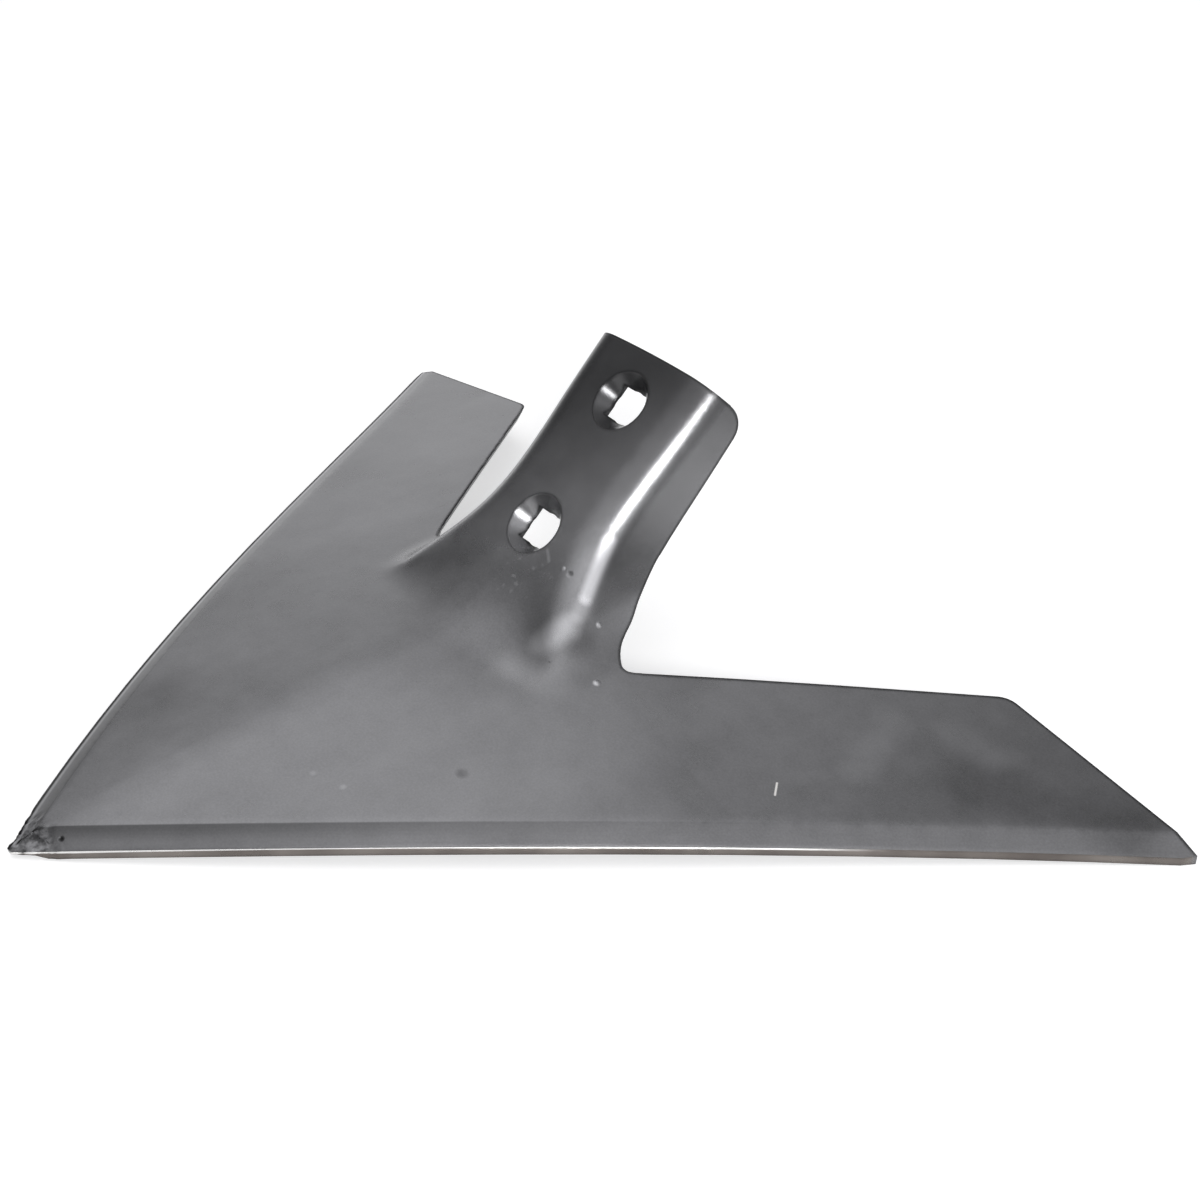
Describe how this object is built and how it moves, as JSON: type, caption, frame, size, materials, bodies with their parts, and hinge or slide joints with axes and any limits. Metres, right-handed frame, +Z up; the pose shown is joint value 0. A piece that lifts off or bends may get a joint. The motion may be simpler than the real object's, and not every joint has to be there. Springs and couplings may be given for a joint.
{
  "type": "chisel plough sweep",
  "caption": "Wide V-shaped pressed steel sweep with swept-back wings, a ground cutting edge and an upright folded stem with square bolt holes.",
  "frame": {"origin": "midway between the nose and the rear line of the wings, on the plane the sweep rests on", "axes": "+X across the wings, +Y backwards from the nose, +Z up"},
  "size_m": [0.481, 0.3252, 0.1152],
  "materials": {
    "steel": "thin dark lacquer with a satin sheen over hot-pressed steel"
  },
  "bodies": {
    "root": {"sweep": "steel"}
  },
  "joints": []
}
